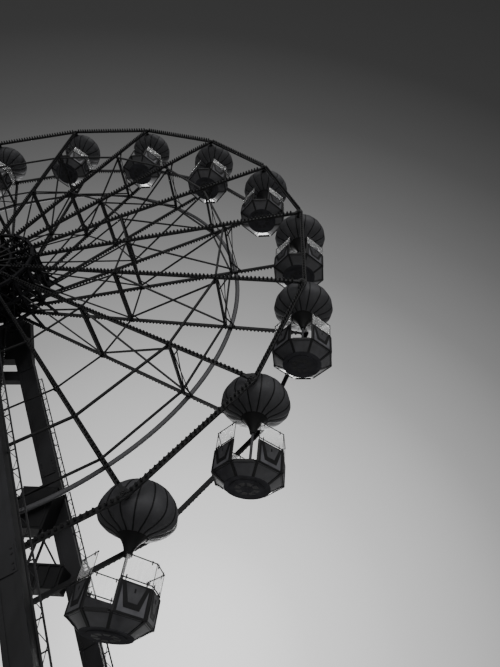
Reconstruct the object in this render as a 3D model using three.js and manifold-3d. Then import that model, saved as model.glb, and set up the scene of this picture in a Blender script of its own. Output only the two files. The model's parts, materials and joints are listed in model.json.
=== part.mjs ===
// A Ferris wheel with eighteen gondolas, in millimetres.
// Ground level under the hub is the origin, +Z is up and the wheel's axle lies along Y.
// The wheel is two flat lattice frames, front (-Y) and back (+Y), held apart by cross bracing.
// Each gondola hangs from a shaft between the two frames, at a corner of the rim.
import * as THREE from "three";
import { mergeVertices } from "three/addons/utils/BufferGeometryUtils.js";
import Module from "manifold-3d";

const wasm = await Module();
wasm.setup();

// Driving dimensions
const gondolas = 18;
const step = (2 * Math.PI) / gondolas;
const turn = (-2.6 * Math.PI) / 180; // the wheel stands a little short of having a spoke upright
const hubZ = 19000; // height of the axle above the ground
const rimR = 15000; // centre of the axle to a gondola's shaft
const rimBarR = 15110; // the rim's straight bars pass a little outside the shafts
const bRingR = 11400; // outer of the two inner rings
const aRingR = 6860; // inner of the two inner rings
const seat = 0.3; // gap between two pieces that rest on each other

// Wheel frames: flat lattices whose bars differ in width and depth
const frameInnerY = 1335;
const spokeWidth = 110;
const spokeDepth = 110;
const frameMidY = frameInnerY + spokeDepth / 2;
const flangeR = 800;
const flangeDepth = 225;
const bossSize = 200; // bearing block at each corner of the rim
const bossDepth = 150;

// Axle and supports
const axleR = 220;
const axleSides = 24;
const runningGap = 0.15; // least gap between the turning axle and its bores
const boreR = (axleR + runningGap) / Math.cos(Math.PI / axleSides); // to the bore's corners
const axleEndY = 3120;
const supportInnerY = 2500;
const supportDepth = 420;
const legSlope = 0.628; // sideways run of a leg per unit of height
const legTopZ = hubZ - 2350;
const sillTopZ = 420;
const legTopWidth = 860; // both measured level, across the leg
const legFootWidth = 560;

// Gondola, measured from its shaft
const balloonR = 1215;
const balloonTopZ = 1050;
const shaftR = 55;
const shaftEndY = frameInnerY - 0.5;
const neckEndZ = -1200;
const basketHalf = 1100; // centre to a main side
const basketSide = 410; // half the length of a main side
const floorTopZ = -2815;
const panShoulderZ = -3130; // foot of the sloping facets
const panBottomZ = -3175;
const panR = 740; // to the corners at that foot
const panFootR = 570;
const sillZ = -2130; // top of the solid panels
const railTopZ = -1450;
const railHeight = 50;
const postWidth = 70; // wall left at each side of a pane
const wallThickness = 50;
const paneSetback = 18; // panes lie this far inside the face of their panel
const wallLean = 12; // the walls flare out by this from floor to rail
const postTurn = 0.2;

const grey = (value, roughness, metalness) =>
  new THREE.MeshStandardMaterial({ color: new THREE.Color(value, value, value), roughness, metalness });
const materials = {
  steel: grey(0.035, 0.5, 0.6),
  support: grey(0.05, 0.55, 0.6),
  ring: grey(0.35, 0.4, 0.8),
  shaft: grey(0.25, 0.35, 0.9),
  canopy: grey(0.06, 0.35, 0),
  basket: grey(0.08, 0.45, 0.2),
  housing: grey(0.03, 0.6, 0.3),
};

// A three.js geometry as a manifold solid
function solid(geometry) {
  const bare = geometry.clone();
  bare.deleteAttribute("normal");
  bare.deleteAttribute("uv");
  const merged = mergeVertices(bare, 1e-3);
  return new wasm.Manifold(
    new wasm.Mesh({
      numProp: 3,
      vertProperties: new Float32Array(merged.attributes.position.array),
      triVerts: new Uint32Array(merged.index.array),
    }),
  );
}

// Joins solids into one, without the slivers that bars leave where they cross
const fuse = (solids) => solids.reduce((sum, one) => sum.add(one)).simplify(0.1);

function meshOf(name, body, material) {
  const made = body.getMesh();
  const geometry = new THREE.BufferGeometry()
    .setAttribute("position", new THREE.BufferAttribute(made.vertProperties, 3))
    .setIndex(new THREE.BufferAttribute(made.triVerts, 1));
  geometry.computeVertexNormals();
  const mesh = new THREE.Mesh(geometry, material);
  mesh.name = name;
  return mesh;
}

// A box given by its lowest and highest corners
function block(low, high) {
  const size = high.map((value, i) => value - low[i]);
  const middle = high.map((value, i) => (value + low[i]) / 2);
  return solid(new THREE.BoxGeometry(...size).translate(...middle));
}

// A straight bar between two points; side is the direction that its width is measured in
function bar(from, to, width, depth, side) {
  const start = new THREE.Vector3(...from);
  const end = new THREE.Vector3(...to);
  const along = end.clone().sub(start);
  const length = along.length();
  along.normalize();
  const across = new THREE.Vector3(...side);
  across.addScaledVector(along, -across.dot(along)).normalize();
  const third = new THREE.Vector3().crossVectors(along, across);
  const place = new THREE.Matrix4()
    .makeBasis(along, across, third)
    .setPosition(start.add(end).multiplyScalar(0.5));
  return solid(new THREE.BoxGeometry(length, width, depth).applyMatrix4(place));
}

// A disc or drum about the wheel's axis, through local origin, from one y to another
const drum = (radius, fromY, toY, sides) =>
  solid(
    new THREE.CylinderGeometry(radius, radius, toY - fromY, sides).translate(0, (fromY + toY) / 2, 0),
  );

// A ring about the wheel's axis, revolved from a closed outline of [radius, y] pairs
const ring = (outline, segments) =>
  solid(
    new THREE.LatheGeometry(
      [...outline, outline[0]].map(([r, y]) => new THREE.Vector2(r, y)),
      segments,
    ),
  );

// A polygonal ring of straight bars with its corners on the spokes
function barRing(radius, width, depth) {
  const [r0, r1] = [radius - width / 2, radius + width / 2];
  const [y0, y1] = [-depth / 2, depth / 2];
  return ring([[r0, y0], [r1, y0], [r1, y1], [r0, y1]], gondolas);
}

// A point on spoke k, counted from the top one, given by radius and y
const onSpoke = (k, radius, y) => [radius * Math.sin(k * step), y, radius * Math.cos(k * step)];
const everySpoke = (make) => Array.from({ length: gondolas }, (_, k) => make(k));

// Front or back flat lattice of the wheel; side is -1 for the front
function wheelFrame(side) {
  const lattice = fuse([
    drum(flangeR, -spokeDepth / 2, flangeDepth - spokeDepth / 2, gondolas),
    ...everySpoke((k) =>
      bar(
        onSpoke(k, flangeR - 90, 0),
        onSpoke(k, rimR - 70, 0),
        spokeWidth,
        spokeDepth,
        onSpoke(k + gondolas / 4, 1, 0),
      ),
    ),
    barRing(rimBarR, 150, spokeDepth - 10),
    barRing(aRingR, 60, 60),
    ...everySpoke((k) =>
      block(
        [-bossSize / 2, -spokeDepth / 2, rimR - bossSize / 2],
        [bossSize / 2, bossDepth - spokeDepth / 2, rimR + bossSize / 2],
      ).rotate([0, (k * 360) / gondolas, 0]),
    ),
  ]);
  const bored = lattice.subtract(drum(axleR + 2 * seat, -1000, 1000, axleSides)).simplify(0.1);
  return (side < 0 ? bored.mirror([0, 1, 0]) : bored).translate([0, side * frameMidY, 0]);
}

// Drum and radial frames that hold the two lattices apart, with the outer ring's bars between them
function crossBracing() {
  const reach = frameInnerY - seat;
  const hubR = 500;
  const strutR = bRingR + 60;
  const strut = (radius, size) =>
    block([-size / 2, -reach, radius - size / 2], [size / 2, reach, radius + size / 2]);
  const cross = (inner, outer, size, inset) =>
    [-1, 1].map((end) =>
      bar([0, -end * (reach - size), inner], [0, end * (reach - inset), outer], size, size, [1, 0, 0]),
    );
  const radialFrame = fuse([
    strut(aRingR, 150),
    strut(strutR, 95),
    ...cross(aRingR, strutR, 66, 180),
    ...cross(hubR - 60, aRingR, 56, 56),
  ]);
  const frames = everySpoke((k) => radialFrame.rotate([0, (k * 360) / gondolas, 0]));
  const rings = [-1, 1].map((end) => barRing(bRingR, 80, 80).translate([0, end * (reach - 45), 0]));
  return fuse([drum(hubR, -reach, reach, gondolas), ...frames, ...rings])
    .subtract(drum(axleR + 2 * seat, -2000, 2000, axleSides))
    .simplify(0.1);
}

// Smooth ring on the outer side of the back frame
function driveRing() {
  const radius = 11650;
  const half = 75;
  const inner = frameInnerY + spokeDepth + seat;
  const outline = [[-0.5, 0], [0.5, 0], [1, 1], [0.5, 2], [-0.5, 2], [-1, 1]];
  return ring(
    outline.map(([u, v]) => [radius + u * half, inner + v * half]),
    3 * gondolas,
  );
}

// Balloon canopy with its neck and the shaft that it hangs on, about the shaft's middle
function canopy() {
  const outline = [
    [0, neckEndZ],
    [105, neckEndZ],
    [290, -720],
    [1010, -420],
    [balloonR, -30],
    [870, 720],
    [0, balloonTopZ],
  ];
  const balloon = new THREE.LatheGeometry(
    outline.map(([r, z]) => new THREE.Vector2(r, z)),
    16,
  );
  balloon.rotateX(Math.PI / 2);
  const shaft = new THREE.CylinderGeometry(shaftR, shaftR, 2 * shaftEndY, 6);
  return solid(balloon).add(solid(shaft));
}

// Corners of the basket's octagon in plan, at a given distance in from its outer face
function octagon(inset) {
  const half = basketHalf - inset;
  const side = basketHalf + basketSide - inset * Math.SQRT2 - half;
  return [
    [half, -side], [half, side], [side, half], [-side, half],
    [-half, side], [-half, -side], [-side, -half], [side, -half],
  ];
}

// A closed solid through level outlines, given as [outline, z] pairs from the lowest up
function loft(levels) {
  const count = levels[0][0].length;
  const points = levels.flatMap(([outline, z]) => outline.flatMap(([x, y]) => [x, y, z]));
  const top = (levels.length - 1) * count;
  const faces = [];
  for (let i = 0; i < count; i++) {
    const next = (i + 1) % count;
    for (let base = 0; base < top; base += count) {
      const above = base + count;
      faces.push(base + i, base + next, above + next, base + i, above + next, above + i);
    }
  }
  const contour = levels[0][0].map(([x, y]) => new THREE.Vector2(x, y));
  for (const [a, b, c] of THREE.ShapeUtils.triangulateShape(contour, [])) {
    faces.push(a, c, b, top + a, top + b, top + c);
  }
  const geometry = new THREE.BufferGeometry()
    .setAttribute("position", new THREE.Float32BufferAttribute(points, 3))
    .setIndex(faces);
  return solid(geometry);
}

// One side's wall: three facets bent round the passenger space, each with a pane set back over its panel
function basketWall() {
  const outline = (inset) => {
    const outer = octagon(inset);
    const inner = octagon(inset + wallThickness);
    const turned = wallThickness / Math.SQRT2;
    const [x, y] = outer[2];
    return [
      [x, -y], outer[0], outer[1], [x, y],
      [x - turned, y - turned], inner[1], inner[0], [x - turned, turned - y],
    ];
  };
  const wall = loft([[outline(wallLean), floorTopZ - 10], [outline(0), railTopZ]]);
  const paneTop = railTopZ - railHeight;
  const recess = (width, distance, angle) =>
    solid(
      new THREE.BoxGeometry(wallThickness, width - 2 * postWidth, paneTop - sillZ)
        .translate(distance - paneSetback + wallThickness / 2, 0, (paneTop + sillZ) / 2),
    ).rotate([0, 0, angle]);
  const diagonal = (basketHalf - basketSide) * Math.SQRT2;
  const diagonalOut = (basketHalf + basketSide) / Math.SQRT2;
  return wall
    .subtract(recess(2 * basketSide, basketHalf, 0))
    .subtract(recess(diagonal, diagonalOut, 45))
    .subtract(recess(diagonal, diagonalOut, -45));
}

// Floor pan, two walls with panes under their top rail, and the post up to the canopy's neck
function basket() {
  const plan = octagon(0);
  const round = (radius) =>
    plan.map(([x, y]) => [(x * radius) / Math.hypot(x, y), (y * radius) / Math.hypot(x, y)]);
  const wall = basketWall();
  const postFootZ = floorTopZ - 20;
  const postTopZ = neckEndZ - seat;
  const post = new THREE.CylinderGeometry(45, 50, postTopZ - postFootZ, 6)
    .rotateX(Math.PI / 2)
    .rotateZ(postTurn)
    .translate(0, 0, (postTopZ + postFootZ) / 2);
  return fuse([
    loft([[round(panFootR), panBottomZ], [round(panR), panShoulderZ], [plan, floorTopZ]]),
    wall,
    wall.rotate([0, 0, 180]),
    solid(post),
  ]);
}

// Level x of a leg's centre line at height z
const legX = (z) => legSlope * (hubZ - z);
const supportOuterY = supportInnerY + supportDepth;
const supportY = (side) => (side < 0 ? [-supportOuterY, -supportInnerY] : [supportInnerY, supportOuterY]);

// A flat plate in a support's plane, from an outline of [x, z] pairs in clockwise order seen from the front
function plate(outline, lowY, highY) {
  const shape = new THREE.Shape(outline.map(([x, z]) => new THREE.Vector2(x, z)));
  const geometry = new THREE.ExtrudeGeometry(shape, { depth: highY - lowY, bevelEnabled: false });
  return solid(geometry.rotateX(Math.PI / 2).translate(0, highY, 0));
}

const legWidth = (z) =>
  legFootWidth + ((legTopWidth - legFootWidth) * (z - sillTopZ)) / (legTopZ - sillTopZ);

function leg(side, hand) {
  const [lowY, highY] = supportY(side);
  const topZ = legTopZ - seat;
  const footZ = sillTopZ + seat;
  const at = (z, edge) => [hand * (legX(z) + (edge * legWidth(z)) / 2), z];
  return plate([at(footZ, -1), at(footZ, 1), at(topZ, 1), at(topZ, -1)], lowY, highY);
}

// Plate where two legs meet, bored for the axle
function headPlate(side) {
  const [lowY, highY] = supportY(side);
  const foot = legX(legTopZ) + legTopWidth / 2;
  const topHalf = 560;
  const topZ = hubZ + 560;
  const body = plate([[-foot, legTopZ], [foot, legTopZ], [topHalf, topZ], [-topHalf, topZ]], lowY, highY);
  const bore = drum(boreR, -5000, 5000, axleSides).rotate([0, 180 / axleSides, 0]);
  return body.subtract(bore.translate([0, 0, hubZ]));
}

// Beam between the legs of one support, its ends cut to the legs' inner edges
function crossBeam(side) {
  const [lowY, highY] = supportY(side);
  const [bottomZ, topZ] = [hubZ - 3630, hubZ - 3070];
  const edge = (z) => legX(z) - legWidth(z) / 2 - 2 * seat;
  return plate(
    [[-edge(bottomZ), bottomZ], [edge(bottomZ), bottomZ], [edge(topZ), topZ], [-edge(topZ), topZ]],
    lowY + 60,
    highY - 60,
  );
}

// Sill on the ground that joins the front and back feet of one side
function groundSill(hand) {
  const x = hand * legX(0);
  const reach = supportOuterY + 500;
  return block([x - 450, -reach, 0], [x + 450, reach, sillTopZ]);
}

// Narrow ladder beside the outer edge of a right-hand leg, on three short brackets
function ladder(side) {
  const middleY = side * (supportInnerY + 70);
  const rail = 40;
  const width = 170;
  const standOff = 60;
  const rungs = 24;
  const [bottomZ, topZ] = [1500, hubZ - 3600];
  const outward = new THREE.Vector2(1, legSlope).normalize();
  const at = (z, out) => [
    legX(z) + legWidth(z) / 2 + standOff + outward.x * out,
    middleY,
    z + outward.y * out,
  ];
  const parts = [0, width].map((out) => bar(at(bottomZ, out), at(topZ, out), rail, rail, [0, 1, 0]));
  for (let i = 0; i <= rungs; i++) {
    const z = bottomZ + ((topZ - bottomZ) * i) / rungs;
    parts.push(bar(at(z, 0), at(z, width), 28, 28, [0, 1, 0]));
  }
  for (const z of [bottomZ + 900, (bottomZ + topZ) / 2, topZ - 900]) {
    parts.push(bar(at(z, -2 * standOff), at(z, 0), 60, 60, [0, 1, 0]));
  }
  return fuse(parts).subtract(leg(side, 1).translate([2 * seat, 0, 0]));
}

// Box under the drive ring, on the inner face of the back right leg
const housingLow = [4950, 1750, 8200];
const housingHigh = [6250, supportInnerY - seat, 9700];

// Lower box on the same leg, with the posts that the drive housing stands on
function drivePlatform() {
  const low = [6100, 1850, 6400];
  const high = [7450, supportInnerY - seat, 7080];
  const post = 70;
  const posts = [low[1] + 60, high[1] - 160].map((y) =>
    block([low[0], y, high[2] - 100], [low[0] + post, y + post, housingLow[2] - seat]),
  );
  return fuse([block(low, high), ...posts]);
}

const group = new THREE.Group();
const add = (name, body, material) => group.add(meshOf(name, body, material));
const atHub = (body) => body.rotate([0, (turn * 180) / Math.PI, 0]).translate([0, 0, hubZ]);

add("front_wheel_frame", atHub(wheelFrame(-1)), materials.steel);
add("back_wheel_frame", atHub(wheelFrame(1)), materials.steel);
add("cross_bracing", atHub(crossBracing()), materials.steel);
add("drive_ring", atHub(driveRing()), materials.ring);
add("main_axle", atHub(drum(axleR, -axleEndY, axleEndY, axleSides)), materials.shaft);

const oneCanopy = canopy();
const oneBasket = basket();
for (let k = 0; k < gondolas; k++) {
  const label = String(k + 1).padStart(2, "0");
  const [x, , z] = onSpoke(k + turn / step, rimR, 0);
  add("canopy_" + label, oneCanopy.translate([x, 0, hubZ + z]), materials.canopy);
  add("basket_" + label, oneBasket.translate([x, 0, hubZ + z]), materials.basket);
}

for (const [face, side] of [["front", -1], ["back", 1]]) {
  add(face + "_left_leg", leg(side, -1), materials.support);
  add(face + "_right_leg", leg(side, 1), materials.support);
  add(face + "_head_plate", headPlate(side), materials.support);
  add(face + "_cross_beam", crossBeam(side), materials.support);
  add(face + "_ladder", ladder(side), materials.support);
}
add("left_ground_sill", groundSill(-1), materials.support);
add("right_ground_sill", groundSill(1), materials.support);
add("drive_housing", block(housingLow, housingHigh), materials.housing);
add("drive_platform", drivePlatform(), materials.housing);

export default group;
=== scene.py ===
import json
from itertools import product
from math import atan2, cos, hypot, pi, radians, sin

import bmesh
import bpy
from mathutils import Matrix, Vector


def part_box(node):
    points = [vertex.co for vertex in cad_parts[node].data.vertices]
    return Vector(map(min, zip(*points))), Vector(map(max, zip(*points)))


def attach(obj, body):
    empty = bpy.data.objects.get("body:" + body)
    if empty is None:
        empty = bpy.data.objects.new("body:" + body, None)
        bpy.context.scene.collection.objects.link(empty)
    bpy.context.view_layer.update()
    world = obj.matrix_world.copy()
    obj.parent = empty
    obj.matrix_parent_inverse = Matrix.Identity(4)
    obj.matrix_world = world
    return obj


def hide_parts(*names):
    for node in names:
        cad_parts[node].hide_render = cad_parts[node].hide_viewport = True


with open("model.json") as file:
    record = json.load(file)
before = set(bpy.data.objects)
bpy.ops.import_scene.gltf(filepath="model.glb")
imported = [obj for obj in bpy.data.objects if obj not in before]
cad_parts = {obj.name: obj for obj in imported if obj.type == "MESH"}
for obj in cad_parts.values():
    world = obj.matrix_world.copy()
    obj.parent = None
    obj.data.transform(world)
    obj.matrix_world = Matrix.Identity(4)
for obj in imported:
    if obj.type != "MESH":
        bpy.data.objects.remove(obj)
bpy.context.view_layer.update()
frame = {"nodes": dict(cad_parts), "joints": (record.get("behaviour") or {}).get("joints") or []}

# Sizes that many pieces share, in metres, read from the frame where it holds them
gondolaCount = 18
stepAngle = 2 * pi / gondolaCount
pivots = [Vector(j["pos_m"]) for j in frame["joints"] if j["name"].startswith("gondola_swing")]
hub = next(Vector(j["pos_m"]) for j in frame["joints"] if j["name"] == "wheel_spin")
rimRadius = (pivots[0] - hub).length
firstAngle = atan2(pivots[0].x, pivots[0].z - hub.z)  # the wheel stands a little short of upright
innerFace = -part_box("front_wheel_frame")[1].y  # centre to a frame's face on the gondolas' side
spokeDepth = 0.11
outerFace = innerFace + spokeDepth
tuck = 0.002  # how far a fitting is sunk into the steel that carries it
radii = dict(cage=2.45, inner=6.86, strut=11.46, drive=11.65, rim=15.11)  # of the rings, from the axle


# Materials


def linear(hexColour):
    channels = [int(hexColour[i : i + 2], 16) / 255 for i in (1, 3, 5)]
    return [c / 12.92 if c <= 0.04045 else ((c + 0.055) / 1.055) ** 2.4 for c in channels] + [1.0]


def addNode(tree, kind, settings=None, **links):
    node = tree.nodes.new(kind)
    for key, value in (settings or {}).items():
        if key in node.inputs:
            node.inputs[key].default_value = value
        else:
            setattr(node, key, value)
    for key, source in links.items():
        tree.links.new(source, node.inputs[key])
    return node


def startMaterial(name, shaderValues):
    material = bpy.data.materials.new(name)
    material.use_nodes = True
    tree = material.node_tree
    tree.nodes.clear()
    shader = addNode(tree, "ShaderNodeBsdfPrincipled", shaderValues)
    addNode(tree, "ShaderNodeOutputMaterial", Surface=shader.outputs["BSDF"])
    place = addNode(tree, "ShaderNodeTexCoord").outputs["Object"]
    return material, tree, shader, place


def colourBetween(tree, shader, factor, dark, light, low=0.35, high=0.65):
    ramp = addNode(tree, "ShaderNodeValToRGB", Fac=factor)
    for element, position, colour in zip(ramp.color_ramp.elements, (low, high), (dark, light)):
        element.position = position
        element.color = linear(colour)
    tree.links.new(ramp.outputs["Color"], shader.inputs["Base Color"])


def roughnessBetween(tree, shader, factor, low, high):
    spread = addNode(tree, "ShaderNodeMapRange", {"To Min": low, "To Max": high}, Value=factor)
    tree.links.new(spread.outputs["Result"], shader.inputs["Roughness"])


def bumpFrom(tree, shader, height, strength, distance):
    bump = addNode(tree, "ShaderNodeBump", {"Strength": strength, "Distance": distance}, Height=height)
    tree.links.new(bump.outputs["Normal"], shader.inputs["Normal"])


# Sprayed enamel, weathered to a satin: faint orange peel, and duller where dust lies in patches
def sprayedPaint(name, dark, light, patchSize, roughness=(0.45, 0.65), specular=0.18, streaks=1.0):
    material, tree, shader, place = startMaterial(name, {"IOR": 1.5, "Specular IOR Level": specular})
    run = addNode(tree, "ShaderNodeMapping", {"Scale": (1, 1, 1 / streaks)}, Vector=place).outputs["Vector"]
    patches = addNode(tree, "ShaderNodeTexNoise", {"Scale": 1 / patchSize, "Detail": 5.0}, Vector=run)
    dust = patches.outputs["Fac"]
    colourBetween(tree, shader, dust, dark, light)
    roughnessBetween(tree, shader, dust, *roughness)
    peelSize = 0.016  # real orange peel is 2 mm, too fine to show from the ground
    peel = addNode(tree, "ShaderNodeTexNoise", {"Scale": 1 / peelSize, "Detail": 2.0}, Vector=place)
    bumpFrom(tree, shader, peel.outputs["Fac"], 0.1, 0.002)
    return material


# Galvanised steel, gone dull outdoors: a faint grey spangle of crystals and a soft metal sheen
def galvanisedSteel(name, dark, light, roughness=(0.35, 0.5), metallic=0.6):
    material, tree, shader, place = startMaterial(name, {"Metallic": metallic})
    spangleSize = 0.04  # real crystals are 10 mm across, too fine to show
    spangle = addNode(tree, "ShaderNodeTexVoronoi", {"Scale": 1 / spangleSize}, Vector=place)
    grey = addNode(tree, "ShaderNodeRGBToBW", Color=spangle.outputs["Color"]).outputs["Val"]
    colourBetween(tree, shader, grey, dark, light, 0.1, 0.9)
    roughnessBetween(tree, shader, grey, *roughness)
    return material


# Polycarbonate sheet: clear, with fine scratches that run downwards and scatter some of the light
def clearSheet(name):
    clear = {"Base Color": linear("#ffffff"), "Roughness": 0.03, "Transmission Weight": 1.0}
    clear["IOR"] = 1.06  # 1.58 in the block, but a thin sheet hardly bends what is seen through it
    material, tree, shader, place = startMaterial(name, clear)
    wiped = addNode(tree, "ShaderNodeMapping", {"Scale": (6.0, 6.0, 0.8)}, Vector=place).outputs["Vector"]
    streaks = addNode(tree, "ShaderNodeTexNoise", {"Scale": 2.0, "Detail": 6.0}, Vector=wiped).outputs["Fac"]
    share = addNode(tree, "ShaderNodeMapRange", {"To Min": 0.07, "To Max": 0.18}, Value=streaks)
    haze = addNode(tree, "ShaderNodeBsdfTranslucent", {"Color": linear("#f4f4f4")})
    mixed = addNode(tree, "ShaderNodeMixShader", Fac=share.outputs["Result"])
    tree.links.new(shader.outputs["BSDF"], mixed.inputs[1])
    tree.links.new(haze.outputs["BSDF"], mixed.inputs[2])
    output = next(node for node in tree.nodes if node.type == "OUTPUT_MATERIAL")
    tree.links.new(mixed.outputs["Shader"], output.inputs["Surface"])
    return material


# Moulded glass fibre: pigmented gel coat with a soft gloss and slow waviness from the mould
def gelCoat(name, dark, light, coat=0.03):
    gloss = {"IOR": 1.5, "Specular IOR Level": 0.2, "Coat Weight": coat, "Coat Roughness": 0.4}
    material, tree, shader, place = startMaterial(name, gloss)
    fade = addNode(tree, "ShaderNodeTexNoise", {"Scale": 1.6, "Detail": 6.0}, Vector=place).outputs["Fac"]
    colourBetween(tree, shader, fade, dark, light, 0.3, 0.7)
    roughnessBetween(tree, shader, fade, 0.65, 0.8)
    wave = addNode(tree, "ShaderNodeTexNoise", {"Scale": 5.0, "Detail": 1.0}, Vector=place)
    bumpFrom(tree, shader, wave.outputs["Fac"], 0.2, 0.01)
    return material


paints = dict(
    lattice=sprayedPaint("wheelPaint", "#0a0a0b", "#151516", 0.5),
    hub=sprayedPaint("hubPaint", "#0d0d0f", "#151517", 0.5, (0.7, 0.85), 0.1),
    support=sprayedPaint("supportPaint", "#111112", "#1d1d1f", 0.7, streaks=4.0),
    housing=sprayedPaint("housingPaint", "#08080a", "#101011", 0.4, (0.5, 0.7)),
    darkBand=sprayedPaint("cabinDarkPaint", "#0a0a0b", "#111112", 0.25),
    lightBand=sprayedPaint("cabinLightPaint", "#3b3b3e", "#48484b", 0.3, (0.35, 0.5), 0.3),
    field=sprayedPaint("cabinFieldPaint", "#2c2c2e", "#373739", 0.3),
    slope=sprayedPaint("cabinFloorPaint", "#262628", "#303033", 0.3, (0.28, 0.4), 0.35),
    drum=sprayedPaint("cabinDrumPaint", "#272729", "#303033", 0.3, (0.8, 0.9), 0.02),
    tube=sprayedPaint("railPaint", "#0a0a0b", "#131314", 0.2),
    gore=gelCoat("canopyGelCoat", "#2a2a2c", "#373739"),
    seam=gelCoat("canopySeam", "#070708", "#0b0b0c", 0.0),
    ring=galvanisedSteel("galvanisedRing", "#363638", "#404042", (0.6, 0.75), 0.25),
    bolt=galvanisedSteel("galvanisedBolt", "#151516", "#202021"),
    axle=galvanisedSteel("turnedAxleSteel", "#202022", "#2c2c2e", (0.25, 0.4)),
    sheet=clearSheet("clearPolycarbonate"),
    lampCup=sprayedPaint("lampCupPlastic", "#060607", "#0c0c0d", 0.1),
    lampCap=gelCoat("lampCapPlastic", "#0d0d0e", "#141415", 0.2),
)


# Shapes


def spread(first, last, count):
    return [first + (last - first) * i / (count - 1) for i in range(count)]


def turns(count):
    return [2 * pi * i / count for i in range(count)]


def meshFrom(bm, name):
    mesh = bpy.data.meshes.new(name)
    bm.to_mesh(mesh)
    bm.free()
    return mesh


def addObject(name, data):
    made = bpy.data.objects.new(name, data)
    bpy.context.scene.collection.objects.link(made)
    return made


def placeMesh(name, mesh, keys, body, replaced=(), smoothAngle=None):
    for key in keys:
        mesh.materials.append(paints[key])
    piece = addObject(name, mesh)
    if smoothAngle:
        mesh.shade_smooth()
        mesh.set_sharp_from_angle(angle=radians(smoothAngle))
    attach(piece, body)
    if replaced:
        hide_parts(*replaced)


def finishPiece(name, bm, keys, body, replaced=(), smoothAngle=None):
    bmesh.ops.remove_doubles(bm, verts=bm.verts, dist=1e-5)
    placeMesh(name, meshFrom(bm, name), keys, body, replaced, smoothAngle)


def paintFaces(faces, index):
    for face in faces:
        face.material_index = index


def facesOf(verts):
    return list({face for vert in verts for face in vert.link_faces})


# Faces that have been made since a set of them was taken
def facesSince(bm, known):
    return [face for face in bm.faces if face not in known]


# Matrix whose X axis runs from a to b, at their middle; across is the wanted direction of Y
def alongMatrix(a, b, across):
    a, b = Vector(a), Vector(b)
    x = (b - a).normalized()
    y = Vector(across)
    y = (y - x * y.dot(x)).normalized()
    z = x.cross(y)
    turn = Matrix((x, y, z)).transposed().to_4x4()
    return Matrix.Translation((a + b) / 2) @ turn, (b - a).length


def addBar(bm, a, b, width, depth, across=(0, 1, 0), index=0, bevel=0.0):
    place, length = alongMatrix(a, b, across)
    made = bmesh.ops.create_cube(bm, size=1, matrix=place @ Matrix.Diagonal((length, width, depth, 1)))
    if bevel:
        edges = list({edge for vert in made["verts"] for edge in vert.link_edges})
        made = bmesh.ops.bevel(
            bm, geom=edges, offset=bevel, affect="EDGES", segments=1, profile=0.5, material=-1
        )
    paintFaces(facesOf(made["verts"]), index)


def addRod(bm, a, b, radius, sides, index=0, endRadius=None):
    place, length = alongMatrix(a, b, (0.31, 0.87, 0.38))  # no rod runs in this direction
    made = bmesh.ops.create_cone(
        bm,
        cap_ends=True,
        segments=sides,
        radius1=radius,
        radius2=radius if endRadius is None else endRadius,
        depth=length,
        matrix=place @ Matrix.Rotation(pi / 2, 4, "Y"),
    )
    paintFaces(facesOf(made["verts"]), index)


# A flat plate from outline points (u, v) on a plane, raised by its thickness along the plane's normal
def addPlate(bm, outline, place, thickness, index=0):
    corners = [bm.verts.new(place @ Vector((u, v, 0))) for u, v in outline]
    grown = bmesh.ops.extrude_face_region(bm, geom=[bm.faces.new(corners)])
    lifted = [part for part in grown["geom"] if isinstance(part, bmesh.types.BMVert)]
    bmesh.ops.translate(bm, vec=place.to_3x3() @ Vector((0, 0, thickness)), verts=lifted)
    faces = facesOf(corners + lifted)
    bmesh.ops.recalc_face_normals(bm, faces=faces)
    paintFaces(faces, index)


# A full turn of an outline about an axis; a closed outline makes a ring
def turnOutline(bm, points, closed, steps, axis, centre):
    outline = [bm.verts.new(point) for point in points]
    after = outline[1:] + outline[:1] if closed else outline[1:]
    edges = [bm.edges.new(pair) for pair in zip(outline, after)]
    bmesh.ops.spin(
        bm, geom=outline + edges, angle=2 * pi, steps=steps, axis=axis, cent=centre, use_merge=True
    )


def stampAt(bm, shape, matrix):
    shape.transform(matrix)
    bm.from_mesh(shape)
    shape.transform(matrix.inverted())


def onSpoke(k, radius, y, sideways=0.0):
    angle = firstAngle + k * stepAngle
    out = Vector((sin(angle), 0, cos(angle)))
    side = Vector((cos(angle), 0, -sin(angle)))
    return hub + out * radius + side * sideways + Vector((0, y, 0))


# Camera, at standing height and looking up past the wheel's right-hand side
camera = dict(place=(15.55, -13.60, 1.60), heading=-11.464, pitch=45.32, roll=-7.44, lens=26.81)


def makeCamera():
    heading, pitch, roll = (radians(camera[key]) for key in ("heading", "pitch", "roll"))
    ahead = Vector((sin(heading) * cos(pitch), cos(heading) * cos(pitch), sin(pitch)))
    level = Vector((cos(heading), -sin(heading), 0))
    down = ahead.cross(level)
    right = level * cos(roll) + down * sin(roll)
    up = level * sin(roll) - down * cos(roll)
    data = bpy.data.cameras.new("camera")
    data.lens = camera["lens"]  # the sensor's 36 mm lie along the picture's height
    data.clip_start = 0.1
    data.clip_end = 2000
    made = addObject("camera", data)
    turn = Matrix((right, up, -ahead)).transposed().to_4x4()
    made.matrix_world = Matrix.Translation(camera["place"]) @ turn
    bpy.context.scene.camera = made


makeCamera()
print("camera placed")


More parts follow.
